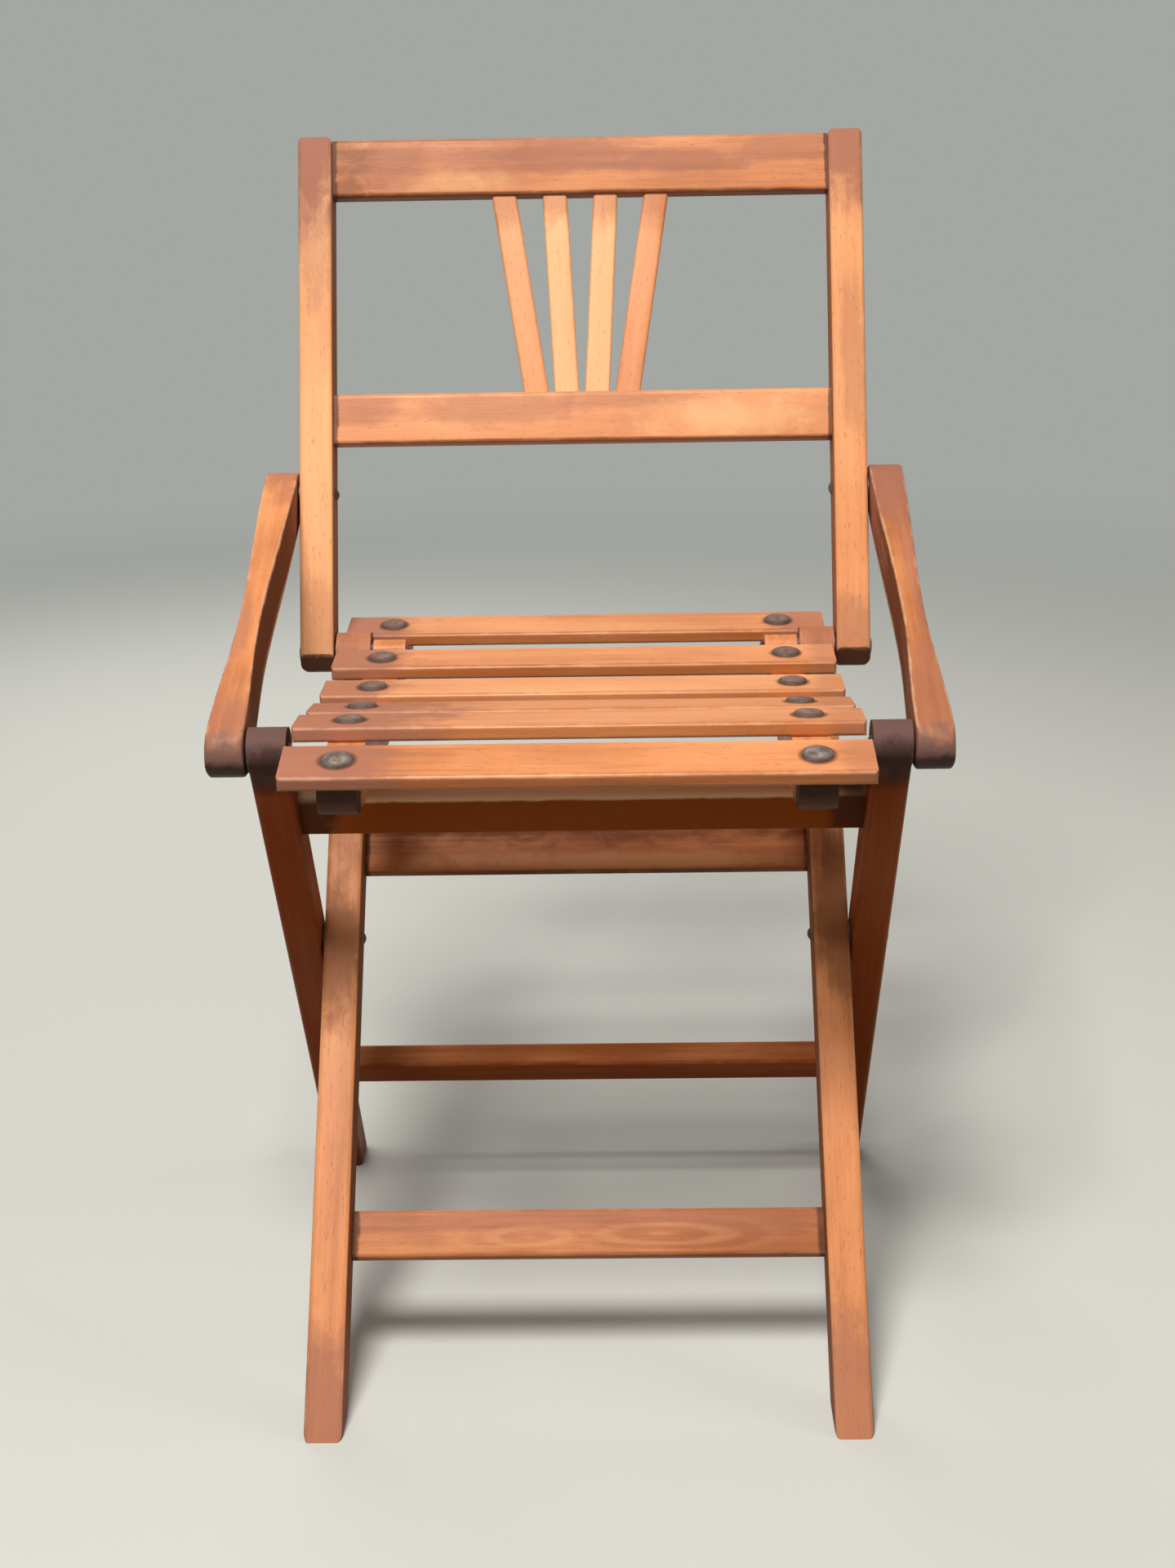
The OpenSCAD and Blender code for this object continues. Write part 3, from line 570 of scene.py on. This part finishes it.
class Shape(Tree):
    """A tree that makes or changes geometry, with named inputs."""

    def __init__(self, name):
        self.group = bpy.data.node_groups.new(name, "GeometryNodeTree")
        super().__init__(self.group)
        for way in ("INPUT", "OUTPUT"):
            self.group.interface.new_socket("Geometry", in_out=way, socket_type="NodeSocketGeometry")
        self.inside = self.nodes.new("NodeGroupInput")
        self.outside = self.nodes.new("NodeGroupOutput")
        self.geometry = Sock(self, self.inside.outputs[0])
        self.inputs = {}

    def taken(self, name, kind, value=None):
        """A named input of the tree."""
        made = self.group.interface.new_socket(name, in_out="INPUT", socket_type="NodeSocket" + kind)
        if value is not None:
            made.default_value = value
        self.inputs[name] = made.identifier
        return Sock(self, self.inside.outputs[name])

    def smooth(self, geometry, limit):
        """Smooth shading over every edge that turns by less than limit."""
        angle = self.node("GeometryNodeInputMeshEdgeAngle", output="Unsigned Angle")
        settings = {"data_type": "FLOAT", "operation": "LESS_EQUAL"}
        soft = self.node("FunctionNodeCompare", settings, {"A": angle, "B": limit})
        geometry = self.node("GeometryNodeSetShadeSmooth", {"domain": "FACE"}, {"Geometry": geometry})
        return self.node(
            "GeometryNodeSetShadeSmooth", {"domain": "EDGE"}, {"Geometry": geometry, "Shade Smooth": soft})

    def give(self, geometry):
        """Ends the tree."""
        self.links.new(geometry.out, self.outside.inputs[0])


def machined():
    """Joins the loose triangles of a machined piece and shades its round edges smoothly."""
    t = Shape("machined piece")
    limit = t.taken("Sharpest smooth edge", "Float", SMOOTH_UNDER)
    joined = t.node("GeometryNodeMergeByDistance", {}, {"Geometry": t.geometry, "Distance": WELD})
    t.give(t.smooth(joined, limit))
    return t


def domed_heads():
    """A domed metal head on each point, with a flattened crown, a groove and a turned rim."""
    t = Shape("domed heads")
    radius = t.taken("Head radius", "Float", STUD_RADIUS * MM)
    height = t.taken("Head height", "Float", STUD_HEIGHT * MM)
    rim = t.taken("Rim height", "Float", 0.7 * MM)
    groove = t.taken("Groove depth", "Float", 0.25 * MM)
    dents = t.taken("Dent depth", "Float", 0.25 * MM)
    seed = t.taken("Seed", "Int", 1)
    finish = t.taken("Finish", "Material")
    cone = t.node("GeometryNodeMeshCone", {"fill_type": "NGON"}, {
        "Vertices": HEAD_SIDES, "Side Segments": HEAD_RINGS,
        "Radius Top": 0.0, "Radius Bottom": radius, "Depth": height})
    x, y, z = t.parts(t.node("GeometryNodeInputPosition"))
    share = t.node("ShaderNodeVectorMath", {"operation": "LENGTH"}, {0: t.vector(x, y)}, "Value") / radius
    dome = (1.0 - share.power(CROWN)).clamped().power(SHOULDER)
    dip = (1.0 - abs(share - GROOVE_AT) * GROOVE_NARROW).clamped() * groove
    wall = ((1.0 - share) * HEAD_RINGS).clamped()
    level = (rim + (height - rim) * dome - dip) * wall
    lathed = t.node("GeometryNodeSetPosition", {}, {"Geometry": cone, "Position": t.vector(x, y, level)})
    marked = t.node("GeometryNodeStoreNamedAttribute", {"data_type": "FLOAT", "domain": "POINT"}, {
        "Geometry": lathed, "Name": "rim", "Value": share})
    turn = t.node("GeometryNodeInputNamedAttribute", {"data_type": "FLOAT_VECTOR"}, {"Name": "turn"})
    size = t.node("FunctionNodeRandomValue", {"data_type": "FLOAT"}, {2: 0.96, 3: 1.0, "Seed": seed}, 1)
    heads = t.node("GeometryNodeInstanceOnPoints", {}, {
        "Points": t.geometry, "Instance": marked, "Rotation": turn, "Scale": t.vector(size, size, 1.0)})
    plain = t.node("GeometryNodeRealizeInstances", {}, {"Geometry": heads})
    battered = t.noise(t.node("GeometryNodeInputPosition"), 260.0, 2.0) - 0.62
    shift = t.node("ShaderNodeVectorMath", {"operation": "SCALE"}, {
        0: t.node("GeometryNodeInputNormal"), "Scale": battered.least(0.0) * dents})
    plain = t.node("GeometryNodeSetPosition", {}, {"Geometry": plain, "Offset": shift})
    t.give(t.node("GeometryNodeSetMaterial", {}, {
        "Geometry": t.smooth(plain, HEAD_SMOOTH_UNDER), "Material": finish}))
    return t


MACHINED = machined()
DOMED_HEADS = domed_heads()


def dress(node, material):
    """Gives a machined piece its finish and its smooth shading."""
    obj = frame["nodes"][node]
    obj.data.materials.clear()
    obj.data.materials.append(material)
    obj.modifiers.new("machined", "NODES").node_group = MACHINED.group


def grown(shape, name, places, turns, values):
    """A piece of plain mesh that the shape's tree makes at some places, each with its turn."""
    spots = bpy.data.meshes.new(name + "_spots")
    spots.from_pydata(places, [], [])
    turned = spots.attributes.new("turn", "FLOAT_VECTOR", "POINT")
    turned.data.foreach_set("vector", [angle for turn in turns for angle in turn])
    piece = bpy.data.objects.new(name, spots)
    bpy.context.scene.collection.objects.link(piece)
    tree = piece.modifiers.new("grown", "NODES")
    tree.node_group = shape.group
    for key, value in values.items():
        tree[shape.inputs[key]] = value
    made = bpy.data.meshes.new_from_object(piece.evaluated_get(bpy.context.evaluated_depsgraph_get()))
    piece.modifiers.remove(tree)
    piece.data = made
    bpy.data.meshes.remove(spots)
    return piece


for number, (node, (lath, tone, stains, worn, extras)) in enumerate(WOOD.items()):
    dress(node, beech("beech_" + node, lath, number + 1, tone, stains, worn, **extras))

for number, node in enumerate(sorted(frame["nodes"])):
    if node not in WOOD and node != "seat_studs":
        dress(node, steel("steel_" + node, number))

places, turns = [], []
for number in range(1, len(SLATS) + 1):
    base, slope = slat_frame(number)
    tilt = Matrix.Rotation(slope, 3, "X")
    for x in (-STUD_X, STUD_X):
        places.append(base + tilt @ Vector((x, 0, SLAT_THICK)) * MM)
        turns.append((slope, 0, 0))
studs = grown(DOMED_HEADS, "slat_studs", places, turns, {"Finish": steel("steel_studs", 40, True), "Seed": 7})
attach(studs, "seat")
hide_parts("seat_studs")


# Studio

WARM_WHITE = (1.0, 0.97, 0.93)
CHAIR_MIDDLE = (0, 0, 0.3)
FLOOR_HALF = 4.0
FADES_FROM, FADES_TO = 0.7, 2.2


def paths(tree):
    """1 for what the camera sees, also in a reflection, and 0 for bounced light."""
    kinds = ("Is Camera Ray", "Is Glossy Ray", "Is Transmission Ray")
    camera_ray, glossy_ray, clear_ray = (tree.node("ShaderNodeLightPath", output=kind) for kind in kinds)
    return camera_ray.most(glossy_ray).most(clear_ray)


def lamp(name, place, size, power, colour=WARM_WHITE, mirrored=True):
    """A round soft lamp that points at the chair. One that isn't mirrored shows in no reflection."""
    data = bpy.data.lights.new(name, "AREA")
    data.shape = "DISK"
    data.size = size
    data.energy = power
    data.color = colour
    light = bpy.data.objects.new(name, data)
    light.location = place
    light.rotation_euler = (Vector(CHAIR_MIDDLE) - Vector(place)).to_track_quat("-Z", "Y").to_euler()
    light.visible_glossy = mirrored
    bpy.context.scene.collection.objects.link(light)


def studio():
    """A pale floor that fades into even air, and soft lamps."""
    floor = bpy.data.meshes.new("studio_floor")
    corners = [(x * FLOOR_HALF, y * FLOOR_HALF, 0) for x, y in ((-1, -1), (1, -1), (1, 1), (-1, 1))]
    floor.from_pydata(corners, [], [(0, 1, 2, 3)])
    obj = bpy.data.objects.new("studio_floor", floor)
    bpy.context.scene.collection.objects.link(obj)
    floor.materials.append(studio_paint())

    world = bpy.data.worlds.new("studio_air")
    bpy.context.scene.world = world
    world.use_nodes = True
    air = Tree(world.node_tree)
    air.nodes.clear()
    seen = paths(air)
    lit = air.node("ShaderNodeBackground", {}, {"Color": (1.0, 0.96, 0.9, 1), "Strength": 0.1})
    backdrop = air.node("ShaderNodeBackground", {}, {"Color": (0.37, 0.385, 0.36, 1), "Strength": 1.0})
    both = air.node("ShaderNodeMixShader", {}, {0: seen, 1: lit, 2: backdrop})
    air.node("ShaderNodeOutputWorld", {}, {"Surface": both}, None)

    lamp("key", (-0.35, -1.2, 2.4), 0.8, 68, (1.0, 0.97, 0.92))
    lamp("front", (-0.5, -2.3, 1.4), 1.0, 9)
    lamp("back", (-0.5, 1.4, 0.9), 0.9, 9, mirrored=False)
    lamp("side", (1.7, -0.2, 0.9), 0.9, 6, mirrored=False)


def studio_paint():
    """Pale to the camera and in reflections, dimmer as a source of bounced light, and lost in the air far off."""
    f = Finish("studio_paint")
    f.set(Base_Color=(0.60, 0.61, 0.58, 1), Roughness=0.75, Specular_IOR_Level=0.2)
    dim = f.node("ShaderNodeBsdfDiffuse", {}, {"Color": (0.2, 0.18, 0.16, 1)})
    near = f.node("ShaderNodeMixShader", {}, {0: paths(f), 1: dim, 2: Sock(f, f.shader.outputs[0])})
    metres_off = f.reach(f.place(), (0, 0, 0), (1000, 1000, 1000))
    air = f.node("ShaderNodeBsdfTransparent")
    both = f.node("ShaderNodeMixShader", {}, {0: metres_off.ramp(FADES_FROM, FADES_TO), 1: near, 2: air})
    f.links.new(both.out, f.surface.inputs["Surface"])
    return f.material


CAMERA_PLACE = (0.0216, -1.0918, 0.6091)
YAW, PITCH, ROLL = math.radians(1.055), math.radians(18.02), math.radians(-1.015)
FOCAL_PIXELS = 2800
PICTURE_WIDTH = 1439


def camera():
    """The camera that was fitted to the photograph."""
    right = Vector((math.cos(YAW), math.sin(YAW), 0))
    ahead = Vector((-math.sin(YAW) * math.cos(PITCH), math.cos(YAW) * math.cos(PITCH), -math.sin(PITCH)))
    up = right.cross(ahead)
    rolled_right = right * math.cos(ROLL) + up * math.sin(ROLL)
    rolled_up = up * math.cos(ROLL) - right * math.sin(ROLL)
    data = bpy.data.cameras.new("camera")
    data.sensor_fit = "HORIZONTAL"
    data.sensor_width = 36.0
    data.lens = data.sensor_width * FOCAL_PIXELS / PICTURE_WIDTH
    data.clip_start = 0.01
    data.clip_end = 50
    obj = bpy.data.objects.new("camera", data)
    bpy.context.scene.collection.objects.link(obj)
    axes = Matrix((rolled_right, rolled_up, -ahead)).transposed().to_4x4()
    obj.matrix_world = Matrix.Translation(CAMERA_PLACE) @ axes
    bpy.context.scene.camera = obj


studio()
camera()
bpy.context.scene.view_settings.view_transform = "Standard"
